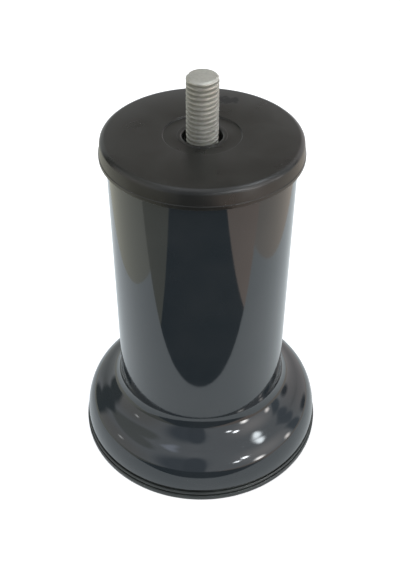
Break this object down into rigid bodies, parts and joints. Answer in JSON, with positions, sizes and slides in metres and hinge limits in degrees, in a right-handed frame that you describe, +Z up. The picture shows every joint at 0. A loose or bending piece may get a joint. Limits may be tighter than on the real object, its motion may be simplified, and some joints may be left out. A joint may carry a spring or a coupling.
{
  "type": "sofa leg",
  "caption": "Short round furniture leg: a glossy tube with a bell foot, a black cap with an upright threaded stud, and a floor pad.",
  "frame": {"origin": "middle of the pad's underside, on the floor", "axes": "+Z up along the leg's axis towards the stud's tip; the leg is round, so +X and +Y are free"},
  "size_m": [0.072, 0.072, 0.1155],
  "materials": {
    "anthracite_gloss_plastic": "gloss",
    "black_cap_plastic": "satin",
    "zinc_plated_steel": "satin",
    "black_pad_plastic": "satin"
  },
  "bodies": {
    "root": {"body": "anthracite_gloss_plastic", "top_cap": "black_cap_plastic", "bolt": "zinc_plated_steel", "base_pad": "black_pad_plastic"}
  },
  "joints": []
}
